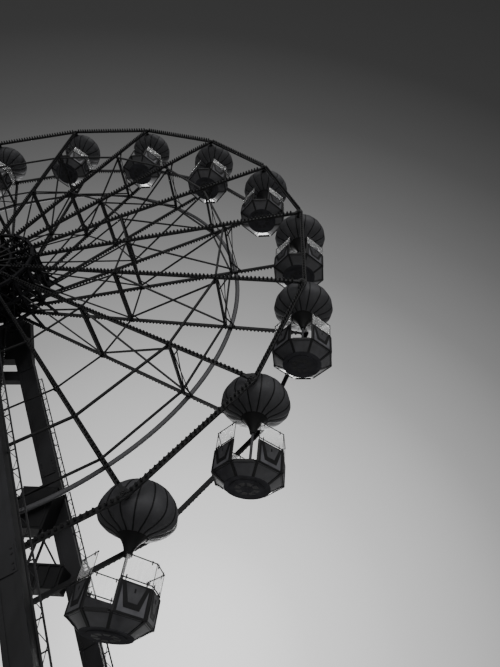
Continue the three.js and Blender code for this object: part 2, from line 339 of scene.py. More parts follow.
# Balloon canopy: sixteen gores between raised dark seams, drawn in to a black neck
canopy = dict(
    gores=16,
    phase=14,  # degrees from the X axis to a seam
    radius=1.178,
    widestZ=-0.035,
    topZ=1.030,
    lowerDepth=0.57,  # half-height of the ellipse under the widest line
    leaveAngle=55,  # degrees down that ellipse where the neck's flare begins
    bendRadius=0.19,  # the flare turns down to the neck round this radius
    points=(14, 9, 12),  # along the upper ellipse, the lower one and the flare
    seamWidth=0.042,
    seamRise=0.012,
    flatRadius=0.05,  # the seams aren't raised this near the crown, under its cap
    goreBulge=0.026,
    bulgeRadius=0.6,  # inside it the bulge dies away to the crown
    goreSteps=5,
    capRadii=(0.13, 0.10),
    neckRadius=0.098,
    neckTopZ=-0.66,
    neckEndZ=-1.196,
    shaft=0.052,
    shaftGap=0.004,
    collar=0.115,
    collarY=(1.10, 1.215),
    bush=0.095,
    bushY=1.255,
)


# Half outline from the crown to the neck's end: two quarter ellipses, then a flare that turns downwards
def canopyProfile():
    radius, middle, depth = canopy["radius"], canopy["widestZ"], canopy["lowerDepth"]
    rise = canopy["topZ"] - middle
    leave = radians(canopy["leaveAngle"])
    upperPoints, lowerPoints, flarePoints = canopy["points"]
    upper = [(cos(a) * radius, middle + sin(a) * rise) for a in spread(pi / 2, 0, upperPoints)]
    lower = [(cos(a) * radius, middle - sin(a) * depth) for a in spread(0, leave, lowerPoints)]
    start = Vector(lower[-1])
    slope = depth * cos(leave) / (radius * sin(leave))
    bend = Vector((canopy["bendRadius"], start.y - slope * (start.x - canopy["bendRadius"])))
    end = Vector((canopy["neckRadius"], canopy["neckEndZ"]))
    flare = [start * (1 - t) ** 2 + bend * 2 * t * (1 - t) + end * t * t for t in spread(0, 1, flarePoints)]
    outline = upper + lower[1:] + [tuple(point) for point in flare[1:]]
    return [(r if r > 1e-6 else 0.0, z) for r, z in outline]


# How far round the canopy a face lies from the seam at its gore's edge
def fromSeam(face):
    middle = face.calc_center_median()
    return atan2(middle.y, middle.x) * hypot(middle.x, middle.y)


# One gore with the seam at its edge: the first column is narrowed to a seam, the others bulge
def makeGore(outline, goreAngle):
    bm = bmesh.new()
    columns = canopy["goreSteps"]
    profile = [bm.verts.new((r, 0, z)) for r, z in outline]
    edges = [bm.edges.new(pair) for pair in zip(profile, profile[1:])]
    bmesh.ops.spin(
        bm, geom=profile + edges, angle=goreAngle, steps=columns + 1, axis=(0, 0, 1), cent=(0, 0, 0)
    )
    for vert in bm.verts:
        r = hypot(vert.co.x, vert.co.y)
        if r < 1e-6:
            continue
        column = round(atan2(vert.co.y, vert.co.x) / goreAngle * (columns + 1))
        seamAngle = min(canopy["seamWidth"] / r, goreAngle / 2)
        share = max(0.0, (column - 1) / columns)
        angle = seamAngle + (goreAngle - seamAngle) * share if column else 0.0
        grown = r + sin(pi * share) * canopy["goreBulge"] * min(1.0, r / canopy["bulgeRadius"])
        vert.co = Vector((cos(angle) * grown, sin(angle) * grown, vert.co.z))
    seam = [face for face in bm.faces if fromSeam(face) < canopy["seamWidth"] * 0.75]
    paintFaces(seam, 1)
    raised = bmesh.ops.extrude_face_region(bm, geom=seam)
    for part in raised["geom"]:
        if isinstance(part, bmesh.types.BMVert) and hypot(part.co.x, part.co.y) > canopy["flatRadius"]:
            outward = Vector((part.co.x, part.co.y, part.co.z * 0.8)).normalized()
            part.co += outward * canopy["seamRise"]
    bmesh.ops.delete(bm, geom=[face for face in seam if face.is_valid], context="FACES_ONLY")
    return meshFrom(bm, "gore")


def makeCanopyShape():
    goreAngle = 2 * pi / canopy["gores"]
    profile = canopyProfile()
    gored = [point for point in profile if point[1] > canopy["neckTopZ"]]
    gore = makeGore(gored, goreAngle)
    bm = bmesh.new()
    for i in range(canopy["gores"]):
        stampAt(bm, gore, Matrix.Rotation(radians(canopy["phase"]) + i * goreAngle, 4, "Z"))
    bmesh.ops.remove_doubles(bm, verts=bm.verts, dist=2e-4)
    gores = set(bm.faces)
    overlap = [(r - 0.012, z + 0.004) for r, z in gored[-2:]]  # the neck starts inside the gores
    outline = overlap + profile[len(gored):] + [(0.0, canopy["neckEndZ"])]
    turnOutline(bm, [(r, 0, z) for r, z in outline], False, 32, (0, 0, 1), (0, 0, 0))
    paintFaces(facesSince(bm, gores), 1)
    reach = innerFace - canopy["shaftGap"]
    addRod(bm, (0, -reach, 0), (0, reach, 0), canopy["shaft"], 16, 2)
    for side in (-1, 1):
        collar = [(0, side * y, 0) for y in canopy["collarY"]]
        addRod(bm, *collar, canopy["collar"], 16, 1)
        bush = [(0, side * y, 0) for y in (canopy["bushY"], reach - canopy["shaftGap"])]
        addRod(bm, *bush, canopy["bush"], 16, 2)
    crown = canopy["topZ"]
    capFoot, capTop = canopy["capRadii"]
    addRod(bm, (0, 0, crown - 0.06), (0, 0, crown + 0.008), capFoot, 20, 1, capTop)
    bmesh.ops.recalc_face_normals(bm, faces=bm.faces)
    return meshFrom(bm, "canopyShape")


# Cabin: octagonal tub with painted panels and dark pillars, rails with clear sheets, and a plain post
cabin = dict(
    half=1.080,
    side=0.400,
    doors=(2, 6),
    sillZ=-2.815,
    shoulderZ=-3.124,
    lipZ=-3.139,
    drumRadius=0.700,
    drumStep=0.530,
    drumZ=-3.165,
    floor=0.010,
    rib=(0.085, 0.026),
    panelTop=-2.130,
    pillar=0.095,  # width on each side of a corner
    band=dict(inset=0.03, depth=0.040),
    cornerBar=dict(inset=0.014, width=0.070, depth=0.040, bevel=0.008),
    stanchion=dict(inset=0.034, radius=0.010, knob=0.026),
    edgeBar=dict(inset=0.018, top=0.045, foot=0.050, depth=0.042, drop=0.022),
    doorstep=dict(half=0.30, up=0.012, down=0.075, out=0.016),
    wall=0.045,
    skin=0.004,  # the panel's paints lie on each other in steps of this
    lowRail=-2.036,
    topRail=-1.475,
    rail=0.017,
    railInset=0.03,
    stay=0.012,
    clamp=dict(inset=0.026, width=0.026, depth=0.034, reach=(-0.03, 0.075)),
    clampShare=0.66,  # of half a facet's length, from its middle
    sheet=0.008,
    sheetInset=0.034,
    markTop=0.83,  # the panel's dark mark, as shares of half the panel's width
    markFoot=0.47,
    markDrop=0.024,
    fieldTop=0.60,
    fieldFoot=0.27,
    markLowZ=-2.700,
    fieldLowZ=-2.565,
    pull=dict(half=0.022, topZ=-2.235, lowZ=-2.330),
    post=0.046,
    postFoot=0.13,
)


# Facet frames: X along the facet, Y up, Z outward, with the origin on the facet's foot at z = 0
def facetPlaces(half, side):
    corners = [
        (half, -side), (half, side), (side, half), (-side, half),
        (-half, side), (-half, -side), (-side, -half), (side, -half),
    ]
    up = Vector((0, 0, 1))
    places = []
    for a, b in zip(corners, corners[1:] + corners[:1]):
        along = Vector((b[0] - a[0], b[1] - a[1], 0))
        middle = Vector(((a[0] + b[0]) / 2, (a[1] + b[1]) / 2, 0))
        x = along.normalized()
        turn = Matrix((x, up, x.cross(up))).transposed().to_4x4()
        places.append((Matrix.Translation(middle) @ turn, along.length))
    return corners, places


def trapezoid(topHalf, footHalf, top, foot):
    return [(-footHalf, foot), (footHalf, foot), (topHalf, top), (-topHalf, top)]


# A facet's frame moved inwards, for a plate that is built outwards from there
def setBack(place, inset):
    return place @ Matrix.Translation((0, 0, -inset))


# Points on the octagon's edges, each edge cut in four, drawn towards a circle by a share
def roundedRing(corners, share, radius):
    points = []
    for (ax, ay), (bx, by) in zip(corners, corners[1:] + corners[:1]):
        for step in range(4):
            x, y = ax + (bx - ax) * step / 4, ay + (by - ay) * step / 4
            grown = 1 + (radius / hypot(x, y) - 1) * share
            points.append((x * grown, y * grown))
    return points


# Tub: a floor slab, faces that slope in from the octagon to a circle, and ribs up their corners
def addTub(bm, corners, dark, slope, drum):
    top = cabin["sillZ"] - cabin["floor"]
    addPlate(bm, corners, Matrix.Translation((0, 0, top)), cabin["floor"], dark)
    stops = ((0.0, dark), (0.09, slope), (0.16, dark), (0.19, slope), (1.0, slope))  # shares of the way down
    rings = []
    for share, _ in stops:
        z = top + (cabin["shoulderZ"] - top) * share
        rings.append([bm.verts.new((x, y, z)) for x, y in roundedRing(corners, share, cabin["drumRadius"])])
    made = [bm.faces.new(rings[0]), bm.faces.new(rings[-1])]
    paintFaces(made, drum)
    for upper, lower, (_, paint) in zip(rings, rings[1:], stops):
        belt = []
        for i in range(len(upper)):
            after = (i + 1) % len(upper)
            belt.append(bm.faces.new((lower[i], lower[after], upper[after], upper[i])))
        paintFaces(belt, paint)
        made += belt
    bmesh.ops.recalc_face_normals(bm, faces=made)
    for x, y in corners:
        shrink = cabin["drumRadius"] / hypot(x, y)
        low = Vector((x * shrink, y * shrink, cabin["shoulderZ"]))
        addBar(bm, low, (x, y, top), *cabin["rib"], (-y, x, 0), dark)
    shoulder, lip, base = cabin["shoulderZ"], cabin["lipZ"], cabin["drumZ"]
    steps = (
        (shoulder + 0.01, lip, cabin["drumRadius"] + 0.008),
        (lip + 0.01, base, cabin["drumStep"]),
        (base + 0.004, base - 0.004, cabin["drumStep"] - 0.05),
    )
    for high, low, radius in steps:
        addRod(bm, (0, 0, low), (0, 0, high), radius, 48, drum)


rosette = dict(
    pockets=8,
    outline=[(0.20, -0.060), (0.37, -0.105), (0.37, 0.105), (0.20, 0.060)],
    rise=0.006,
    centre=0.13,
)


# Under the drum: eight pockets round a plain centre, drawn as thin plates in painted shade for the shade
# inside their hollows
def addRosette(bm, dark, drum):
    low = cabin["drumZ"] - 0.0045  # just under the drum's last step
    foot = low - rosette["rise"] / 2
    for i in range(rosette["pockets"]):
        angle = (i + 0.5) * 2 * pi / rosette["pockets"]
        turn = Matrix.Rotation(angle, 4, "Z") @ Matrix.Translation((0, 0, foot))
        # each pocket's dark plate is painted shade, standing in for its hollow
        addPlate(bm, rosette["outline"], turn, rosette["rise"], dark)
    addRod(bm, (0, 0, foot), (0, 0, low + 0.01), rosette["centre"], 20, drum)


# A panel on its facet: wall, light face, dark mark with a lighter field, a pull and dark edge bars
def addPanel(bm, place, length, dark, light, field, wall):
    half = length / 2
    inner = half - cabin["pillar"]
    foot, top, skin, pull = cabin["sillZ"], cabin["panelTop"], cabin["skin"], cabin["pull"]
    wallOutline = trapezoid(half, half, top, foot - 0.01)
    addPlate(bm, wallOutline, setBack(place, cabin["wall"]), cabin["wall"] - skin, wall)
    markZ = top - cabin["markDrop"]
    mark = trapezoid(half * cabin["markTop"], half * cabin["markFoot"], markZ, cabin["markLowZ"])
    patch = trapezoid(half * cabin["fieldTop"], half * cabin["fieldFoot"], markZ, cabin["fieldLowZ"])
    layers = (
        (trapezoid(inner, inner, top - 0.02, foot + 0.01), 0, light),
        (mark, 1, dark),
        (patch, 2, field),
        (trapezoid(pull["half"], pull["half"], pull["topZ"], pull["lowZ"]), 4, dark),
    )
    for outline, step, paint in layers:
        addPlate(bm, outline, setBack(place, skin), skin + skin * step, paint)
    bar = cabin["edgeBar"]
    for z, width in ((top, bar["top"]), (foot - bar["drop"], bar["foot"])):
        ends = [place @ Vector((sign * half, z, -bar["inset"])) for sign in (-1, 1)]
        addBar(bm, *ends, width, bar["depth"], (0, 0, 1), dark)


# Rails of one facet, with the clamps that hold its clear sheet
def addRails(bm, place, length, tube):
    half = length / 2
    inset, clamp = cabin["railInset"], cabin["clamp"]
    spots = [half * share for share in (-cabin["clampShare"], cabin["clampShare"])]
    for z, inward in ((cabin["lowRail"], 1), (cabin["topRail"], -1)):
        rail = [place @ Vector((sign * half, z, -inset)) for sign in (-1, 1)]
        addRod(bm, *rail, cabin["rail"], 8, tube)
        for spot in spots:
            ends = [place @ Vector((spot, z + lift * inward, -clamp["inset"])) for lift in clamp["reach"]]
            addBar(bm, *ends, clamp["width"], clamp["depth"], (1, 0, 0), tube)
    for spot in spots:
        stay = [place @ Vector((spot, z, -inset)) for z in (cabin["panelTop"], cabin["lowRail"])]
        addRod(bm, *stay, cabin["stay"], 6, tube)


# A dark band on each panel beside a corner, a bevelled bar over the joint, and a thin stanchion above
def addPillar(bm, corner, panels, dark, tube):
    x, y = corner
    outward = Vector((x, y, 0)).normalized()
    low, high = cabin["sillZ"] - 0.04, cabin["panelTop"] + 0.01
    for sign, (place, length) in panels:
        edge = sign * length / 2
        inner = sign * (length / 2 - cabin["pillar"])
        band = [(edge, low), (inner, low), (inner, high), (edge, high)]
        addPlate(bm, band, setBack(place, cabin["band"]["inset"]), cabin["band"]["depth"], dark)
    bar, post = cabin["cornerBar"], cabin["stanchion"]
    ends = [Vector((x, y, z)) - outward * bar["inset"] for z in (low, cabin["panelTop"] + 0.014)]
    addBar(bm, *ends, bar["width"], bar["depth"], (-y, x, 0), dark, bar["bevel"])
    ends = [Vector((x, y, z)) - outward * post["inset"] for z in (cabin["panelTop"], cabin["topRail"])]
    addRod(bm, *ends, post["radius"], 6, tube)
    knob = Matrix.Translation(ends[1])
    made = bmesh.ops.create_icosphere(bm, subdivisions=1, radius=post["knob"], matrix=knob)
    paintFaces(facesOf(made["verts"]), tube)


# Paints of a cabin, in the order of their indices in makeCabinShape
cabinKeys = ("field", "lightBand", "darkBand", "field", "slope", "tube", "drum")


def makeCabinShape():
    bm = bmesh.new()
    corners, places = facetPlaces(cabin["half"], cabin["side"])
    wall, light, dark, field, slope, tube, drum = range(len(cabinKeys))
    addTub(bm, corners, dark, slope, drum)
    addRosette(bm, dark, drum)
    for i, (place, length) in enumerate(places):
        if i in cabin["doors"]:
            step = cabin["doorstep"]
            top, foot = cabin["sillZ"] + step["up"], cabin["sillZ"] - step["down"]
            addPlate(bm, trapezoid(step["half"], step["half"], top, foot), place, step["out"], dark)
        else:
            addPanel(bm, place, length, dark, light, field, wall)
            addRails(bm, place, length, tube)
    for i, corner in enumerate(corners):
        beside = ((1, (i - 1) % 8), (-1, i))  # which end of each facet is at this corner
        panels = [(sign, places[facet]) for sign, facet in beside if facet not in cabin["doors"]]
        addPillar(bm, corner, panels, dark, tube)
    addRod(bm, (0, 0, cabin["sillZ"]), (0, 0, canopy["neckEndZ"] - 0.006), cabin["post"], 16, field)
    addRod(bm, (0, 0, cabin["sillZ"]), (0, 0, cabin["sillZ"] + 0.05), cabin["postFoot"], 16, dark)
    return meshFrom(bm, "cabinShape")


def makeSheetShape():
    bm = bmesh.new()
    _, places = facetPlaces(cabin["half"], cabin["side"])
    for i, (place, length) in enumerate(places):
        if i not in cabin["doors"]:
            half = length / 2 - 0.02
            sheet = trapezoid(half, half, cabin["topRail"] - 0.010, cabin["lowRail"] + 0.010)
            addPlate(bm, sheet, setBack(place, cabin["sheetInset"]), cabin["sheet"])
    return meshFrom(bm, "sheetShape")


def makeGondolas():
    kinds = (
        ("balloon_", makeCanopyShape(), ("gore", "seam", "axle"), "canopy_shell", "canopy_", 40),
        ("cabin_", makeCabinShape(), cabinKeys, "basket_panels", "basket_", 35),
        ("screens_", makeSheetShape(), ("sheet",), "basket_panels", None, None),
    )
    for i, pivot in enumerate(pivots):
        label = f"{i + 1:02d}"
        for name, shape, keys, slot, node, angle in kinds:
            mesh = shape.copy()
            mesh.transform(Matrix.Translation(pivot))
            replaced = [node + label] if node else []
            placeMesh(name + label, mesh, keys, "gondola_" + label, replaced, angle)


makeGondolas()
print("gondolas hung")


# Lamps: capped cups in a row along every spoke and rim bar
lamp = dict(
    pitch=0.1668,
    rimPitch=0.1725,
    offset=0.107,  # radius that the rows along the spokes are counted from
    first={-1: 10, 1: 7},  # first lamp in a row, on the front and on the back frame
    last=87,
    cup=0.036,
    cap=0.048,
    taper=0.92,  # of the cap, up to its shoulder
    tip=0.018,
    cupLength=0.040,
    shoulder=0.080,
    length=0.120,
    rimClear=0.20,
    rimSink=0.005,
    rimStretch=1.2,  # the rim's lamps stand further out than the spokes'
    ringClear=0.16,
)


def lampShape():
    bm = bmesh.new()
    low, middle, high = lamp["cupLength"], lamp["shoulder"], lamp["length"]
    cap, tip = lamp["cap"], lamp["tip"]
    stretches = (
        (0.0, low, lamp["cup"], lamp["cup"]),
        (low, middle, cap, cap * lamp["taper"]),
        (middle, high, cap * lamp["taper"], tip),
    )
    for i, (z0, z1, r0, r1) in enumerate(stretches):
        place = Matrix.Translation((0, 0, (z0 + z1) / 2))
        made = bmesh.ops.create_cone(bm, segments=6, radius1=r0, radius2=r1, depth=z1 - z0, matrix=place)
        paintFaces(facesOf(made["verts"]), min(i, 1))
    sides = set(bm.faces)
    end = Matrix.Translation((0, 0, high))
    underside = Matrix.Translation((0, 0, low)) @ Matrix.Rotation(pi, 4, "X")
    bmesh.ops.create_circle(bm, segments=6, radius=tip, cap_ends=True, matrix=end)
    bmesh.ops.create_circle(bm, segments=6, radius=cap, cap_ends=True, matrix=underside)
    paintFaces(facesSince(bm, sides), 1)
    bmesh.ops.remove_doubles(bm, verts=bm.verts, dist=1e-4)
    bmesh.ops.recalc_face_normals(bm, faces=bm.faces)
    return meshFrom(bm, "lampShape")


def rimSpots(k, y):
    start, end = (onSpoke(j, radii["rim"], y) for j in (k, k + 1))
    span = end - start
    count = int((span.length - 2 * lamp["rimClear"]) / lamp["rimPitch"])
    first = (span.length - count * lamp["rimPitch"]) / 2
    return [start + span.normalized() * (first + i * lamp["rimPitch"]) for i in range(count + 1)]


def makeLamps():
    shape = lampShape()
    taller = Matrix.Diagonal((1, 1, lamp["rimStretch"], 1))
    for side, name in ((-1, "front_lamps"), (1, "back_lamps")):
        bm = bmesh.new()
        y = side * (outerFace - tuck)
        facing = Matrix.Rotation(-side * pi / 2, 4, "X")
        rows = [lamp["offset"] + i * lamp["pitch"] for i in range(lamp["first"][side], lamp["last"] + 1)]
        if side > 0:  # the drive ring crosses the back frame's spokes
            rows = [r for r in rows if abs(r - radii["drive"]) > lamp["ringClear"]]
        for k in range(gondolaCount):
            for spot in (onSpoke(k, r, y) for r in rows):
                stampAt(bm, shape, Matrix.Translation(spot) @ facing)
            for spot in rimSpots(k, y - side * lamp["rimSink"]):
                stampAt(bm, shape, Matrix.Translation(spot) @ facing @ taller)
        placeMesh(name, meshFrom(bm, name), ("lampCup", "lampCap"), "wheel")


makeLamps()
print("lamps fitted")


# Finer steel of the wheel: hub cage, tie rods, joint plates, caps on the shafts' ends, the drive ring


def addBolts(bm, places, face, radius):
    for place in places:
        addRod(bm, place, place + Vector((0, face * radius * 0.8, 0)), radius, 6, 1)


# Local frame on a frame's outer face: X across spoke k, Y outwards along it
def spokePlane(k, y):
    turn = Matrix.Rotation(firstAngle + k * stepAngle, 4, "Y") @ Matrix.Rotation(pi / 2, 4, "X")
    return Matrix.Translation(hub + Vector((0, y, 0))) @ turn


hubCage = dict(
    backY=0.60,  # the cage is built out from the front frame to this plane
    flange=0.46,  # radius from which its bars leave the hub
    inner=1.45,
    strut=0.15,
    chord=0.13,
    innerChord=0.10,
    frontChord=0.05,  # how far the front chords stand before the cage
    web=0.10,
    tie=0.080,
    kneeRadius=2.95,
    boltCircle=0.62,
    boltOut=0.115,
    bolt=0.04,
)


def makeHubCage():
    bm = bmesh.new()
    front, back = tuck - innerFace, hubCage["backY"]
    middle = (front + back) / 2
    flange, outer, inner, web = hubCage["flange"], radii["cage"], hubCage["inner"], hubCage["web"]
    for k in range(gondolaCount):
        side = onSpoke(k, 0, 0, 1) - hub
        for radius, size in ((outer, hubCage["strut"]), (inner, web)):
            addBar(bm, onSpoke(k, radius, front), onSpoke(k, radius, back), size, size, side)
        knee = onSpoke(k, outer, back), onSpoke(k, hubCage["kneeRadius"], innerFace - tuck)
        addBar(bm, *knee, web, web, side)
        for near, far in ((front, back), (back, front)):
            for start, end, y in ((flange, outer, far), (flange, inner, middle), (inner, outer, middle)):
                addBar(bm, onSpoke(k, start, near), onSpoke(k, end, y), web, web, side)
            for ring in (outer, inner):
                addRod(bm, onSpoke(k, ring, near), onSpoke(k + 1, ring, far), hubCage["tie"] / 2, 6)
        addBar(bm, onSpoke(k, flange, back), onSpoke(k, outer, back), web, web)
        for y in (front - hubCage["frontChord"], middle, back):
            for ring, size in ((outer, hubCage["chord"]), (inner, hubCage["innerChord"])):
                addBar(bm, onSpoke(k, ring, y), onSpoke(k + 1, ring, y), size, size)
        for face in (-1, 1):
            spot = onSpoke(k + 0.5, hubCage["boltCircle"], face * (outerFace + hubCage["boltOut"]))
            addBolts(bm, [spot], face, hubCage["bolt"])
    finishPiece("hub_cage", bm, ("hub", "bolt"), "wheel")


ties = dict(
    secondary=11.80,  # where a light rod leaves the spoke for the other frame's ring
    ringOut=0.07,
    ringSetback=0.06,
    rod=0.022,
    knees=(  # short braces from a ring's strut out to the spoke
        dict(ring="strut", low=0.05, high=0.45, setback=0.55, size=0.05),
        dict(ring="inner", low=0.06, high=0.40, setback=0.35, size=0.04),
    ),
)


def makeTies():
    bm = bmesh.new()
    near = innerFace - tuck
    for k in range(gondolaCount):
        side = onSpoke(k, 0, 0, 1) - hub
        for face in (-1, 1):
            start = onSpoke(k, ties["secondary"], face * near)
            end = onSpoke(k, radii["strut"] + ties["ringOut"], -face * (near - ties["ringSetback"]))
            addRod(bm, start, end, ties["rod"], 6)
            for knee in ties["knees"]:
                radius, size = radii[knee["ring"]], knee["size"]
                low = onSpoke(k, radius + knee["low"], face * (near - knee["setback"]))
                addBar(bm, low, onSpoke(k, radius + knee["high"], face * near), size, size, side)
    finishPiece("tie_rods", bm, ["lattice"], "wheel")


jointPlate = dict(
    width=0.15,
    rimDepth=0.26,
    ringDepth=0.20,
    ringScale=0.75,
    thickness=0.014,
    proud=0.001,  # of the spokes' outer face
)


rimCap = dict(  # over the end of a gondola's shaft
    out=0.040,
    radius=0.085,
    thickness=0.022,
    step=(0.050, 0.040),
    stepHeight=0.050,
    boltCircle=0.068,
    bolt=0.012,
)


def makeJoints():
    bm = bmesh.new()
    wide, deep = jointPlate["width"], jointPlate["rimDepth"]
    rimOutline = [
        (-wide, -0.02), (-wide * 0.8, -0.12), (-0.08, -deep), (0.08, -deep),
        (wide * 0.8, -0.12), (wide, -0.02), (0, 0.06),
    ]
    half, deep = wide / 2, jointPlate["ringDepth"]
    ringOutline = [(-wide, 0), (-half, -deep), (half, -deep), (wide, 0), (half, deep), (-half, deep)]
    placed = ((radii["rim"], 1.0, rimOutline), (radii["inner"], jointPlate["ringScale"], ringOutline))
    around = [Vector((sin(a), 0, cos(a))) * rimCap["boltCircle"] for a in turns(6)]
    for k in range(gondolaCount):
        for face in (-1, 1):
            place = spokePlane(k, face * (outerFace + jointPlate["proud"]))
            for radius, scale, outline in placed:
                points = [(u * scale, radius + v * scale) for u, v in outline]
                addPlate(bm, points, place, -face * jointPlate["thickness"])
            spot = onSpoke(k, rimRadius, face * (outerFace + rimCap["out"]))
            rise = Vector((0, face * rimCap["thickness"], 0))
            stepFoot, stepTop = rimCap["step"]
            addRod(bm, spot, spot + rise, rimCap["radius"], 18)
            addRod(bm, spot, spot + Vector((0, face * rimCap["stepHeight"], 0)), stepFoot, 18, 0, stepTop)
            addBolts(bm, [spot + offset + rise for offset in around], face, rimCap["bolt"])
    finishPiece("rim_joints", bm, ("lattice", "bolt"), "wheel", smoothAngle=40)


driveTube = dict(across=0.105, depth=0.075, gap=0.0005, sides=12, steps=180)  # half sizes of its oval


# Smooth oval tube in place of the drive ring's few straight sides
def makeDriveRing():
    bm = bmesh.new()
    section = []
    for angle in turns(driveTube["sides"]):
        y = outerFace + driveTube["gap"] + driveTube["depth"] * (1 + sin(angle))
        section.append(hub + Vector((0, y, radii["drive"] + driveTube["across"] * cos(angle))))
    turnOutline(bm, section, True, driveTube["steps"], (0, 1, 0), hub)
    bmesh.ops.recalc_face_normals(bm, faces=bm.faces)
    finishPiece("drive_ring_tube", bm, ["ring"], "wheel", ["drive_ring"], 40)


ringClamp = dict(offset=0.087, reach=0.13, thickness=0.02, width=0.10)


def makeRingClamps():
    bm = bmesh.new()
    reach = Vector((0, ringClamp["reach"], 0))
    for k in range(gondolaCount):
        for offset in (-ringClamp["offset"], ringClamp["offset"]):
            spot = onSpoke(k, radii["drive"] + offset, outerFace)
            along = onSpoke(k, 1, 0) - hub
            addBar(bm, spot, spot + reach, ringClamp["thickness"], ringClamp["width"], along)
    finishPiece("ring_clamps", bm, ["bolt"], "wheel")


makeHubCage()
makeTies()
makeJoints()
makeDriveRing()
makeRingClamps()
print("wheel steel added")


# Supports: edge flanges, splice plates, bearings, ladder lacing, foot plates and the drive housing's door
support = dict(
    innerY=2.5,
    depth=0.42,
    slope=0.628,
    footWidth=0.56,
    topWidth=0.86,
    footZ=0.42,
    topZ=16.65,
    flange=0.12,
    flangeRise=0.008,
)


def legX(z):
    return support["slope"] * (hub.z - z)


def legWidth(z):
    share = (z - support["footZ"]) / (support["topZ"] - support["footZ"])
    return support["footWidth"] + (support["topWidth"] - support["footWidth"]) * share


splice = dict(
    heights=(5.4, 10.9, 16.2),
    half=0.34,
    thickness=0.024,
    out=0.02,
    width=1.5,  # times half the leg's width there, as boltShare is
    boltShare=0.55,
    rows=(-0.26, -0.12, 0.12, 0.26),
    bolt=0.026,
)


def addSplice(bm, z, hand, y, out):
    across = legWidth(z) / 2
    middle = Vector((hand * legX(z), y + out * splice["out"], z))
    lean = Vector((hand * support["slope"], 0, -1)).normalized()
    level = (Vector((1, 0, 0)) - lean * lean.x).normalized()
    reach = lean * splice["half"]
    addBar(bm, middle - reach, middle + reach, splice["thickness"], across * splice["width"])
    boltX = across * splice["boltShare"]
    spots = [lean * a + level * b for a in splice["rows"] for b in (-boltX, boltX)]
    rise = Vector((0, out * splice["thickness"] / 2, 0))
    addBolts(bm, [middle + spot + rise for spot in spots], out, splice["bolt"])


def makeLegTrim():
    bm = bmesh.new()
    for side, hand, outer in product((-1, 1), (-1, 1), (0, 1)):
        y = side * (support["innerY"] + outer * support["depth"])
        out = side if outer else -side
        for edge in (-1, 1):
            flange = []
            for z in (support["footZ"] + 0.05, support["topZ"] - 0.05):
                x = hand * (legX(z) + edge * (legWidth(z) / 2 - support["flange"] / 2))
                flange.append(Vector((x, y + out * support["flangeRise"], z)))
            addBar(bm, *flange, support["flangeRise"] * 2, support["flange"])
        for z in splice["heights"]:
            addSplice(bm, z, hand, y, out)
    finishPiece("leg_trim", bm, ("support", "bolt"), "support")


bearing = dict(
    bore=0.235,
    rings=((2.44, 2.5, 0.46), (2.92, 3.0, 0.46), (3.0, 3.09, 0.33)),  # from y, to y, and radius
    boltCircle=0.395,
    bolts=12,
    boltY=3.0,
    bolt=0.03,
    rowY=2.92,
    rowPitch=0.42,
    rowLifts=(0.22, 0.60),
    rowBolt=0.028,
)


# A flat ring about the axle between two y planes
def addRing(bm, y0, y1, outer, inner):
    known = set(bm.faces)
    corners = ((inner, y0), (outer, y0), (outer, y1), (inner, y1))
    turnOutline(bm, [hub + Vector((0, y, r)) for r, y in corners], True, 36, (0, 1, 0), hub)
    bmesh.ops.recalc_face_normals(bm, faces=facesSince(bm, known))


def makeBearings():
    bm = bmesh.new()
    radius = bearing["boltCircle"]
    for face in (-1, 1):
        for y0, y1, outer in bearing["rings"]:
            addRing(bm, face * y0, face * y1, outer, bearing["bore"])
        y = face * bearing["boltY"]
        circle = [hub + Vector((sin(a) * radius, y, cos(a) * radius)) for a in turns(bearing["bolts"])]
        addBolts(bm, circle, face, bearing["bolt"])
        rows = product([i * bearing["rowPitch"] for i in range(-3, 4)], bearing["rowLifts"])
        spots = [Vector((x, face * bearing["rowY"], support["topZ"] + lift)) for x, lift in rows]
        addBolts(bm, spots, face, bearing["rowBolt"])
    finishPiece("axle_bearings", bm, ("support", "bolt"), "support", smoothAngle=40)


ladder = dict(bottomZ=1.5, topZ=15.4, width=0.17, standOff=0.06, planeY=0.07, bays=46, rod=0.010)


# A point on the ladder beside a right-hand leg, out from its near stile
def onLadder(z, y, out):
    outward = Vector((1, 0, support["slope"])).normalized()
    return Vector((legX(z) + legWidth(z) / 2 + ladder["standOff"], y, z)) + outward * out


def makeLadderLacing():
    bm = bmesh.new()
    heights = spread(ladder["bottomZ"], ladder["topZ"], ladder["bays"] + 1)
    for face in (-1, 1):
        y = face * (support["innerY"] + ladder["planeY"])
        for i, (z0, z1) in enumerate(zip(heights, heights[1:])):
            start, end = (0, ladder["width"]) if i % 2 else (ladder["width"], 0)
            addRod(bm, onLadder(z0, y, start), onLadder(z1, y, end), ladder["rod"], 6)
    finishPiece("ladder_lacing", bm, ["support"], "support")


footPlate = dict(
    half=0.42,
    width=0.80,
    thickness=0.03,
    bevel=0.006,
    boltX=(-0.36, 0.36),
    boltY=(-0.32, 0, 0.32),
    bolt=0.03,
    boltHeight=0.035,
    ribHalf=0.30,
    ribTopHalf=0.22,
    ribHeight=0.34,
    ribLean=0.12,
    rib=0.016,
)


